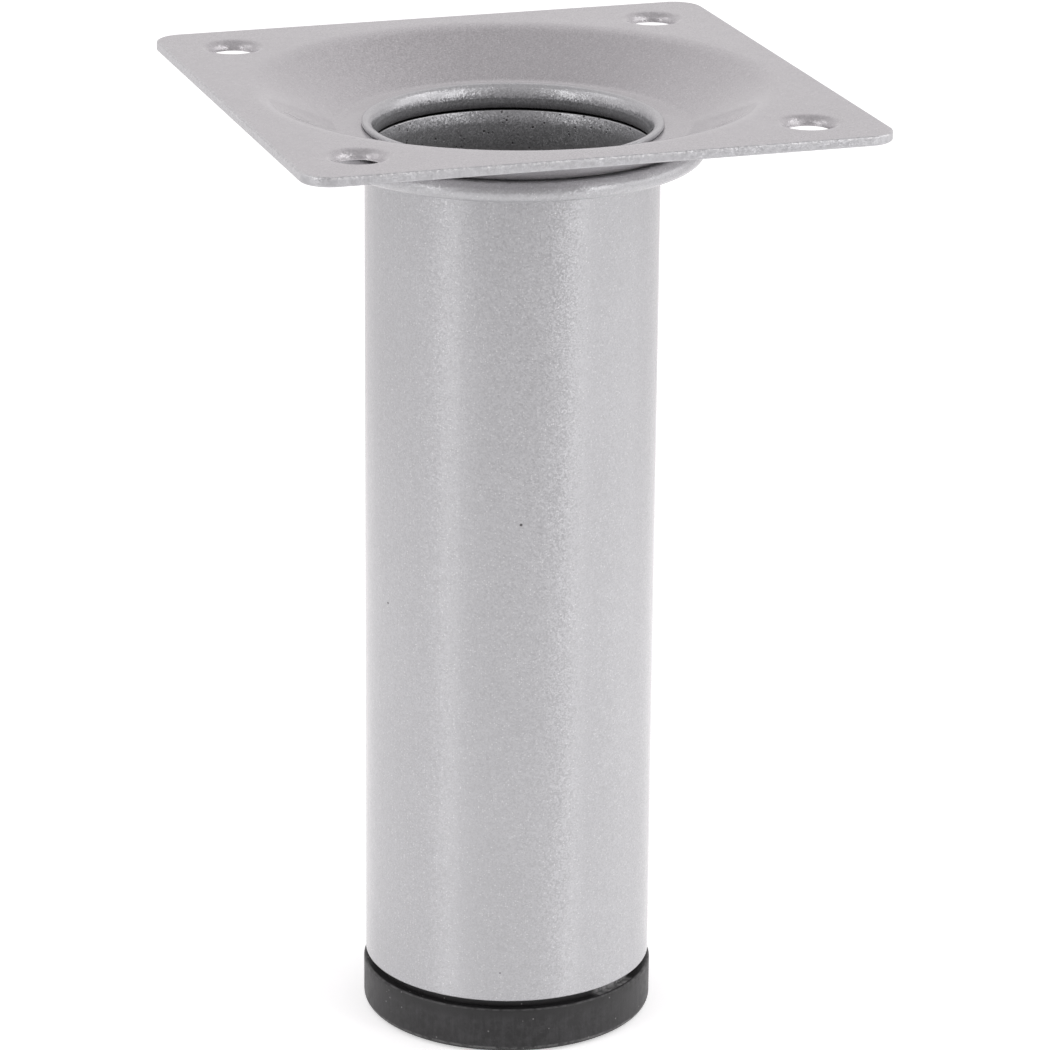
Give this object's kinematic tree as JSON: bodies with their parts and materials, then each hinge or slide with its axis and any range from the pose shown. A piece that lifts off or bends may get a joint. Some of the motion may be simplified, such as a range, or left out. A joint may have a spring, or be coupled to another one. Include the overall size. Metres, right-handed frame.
{
  "type": "furniture leg",
  "caption": "Short round steel furniture leg with a dished square screw plate clamped on its top and a plastic foot cap.",
  "frame": {"origin": "centre of the foot's flat underside, on the leg's axis", "axes": "+Z along the leg's axis from the foot to the mounting plate, X and Y along the plate's edges"},
  "size_m": [0.06, 0.06, 0.1],
  "materials": {
    "silver_coat": "silver-grey metallic powder coat",
    "black_plastic": "moulded, finely mottled"
  },
  "bodies": {
    "root": {"mounting_plate": "silver_coat", "leg_tube": "silver_coat", "foot_cap": "black_plastic"}
  },
  "joints": []
}
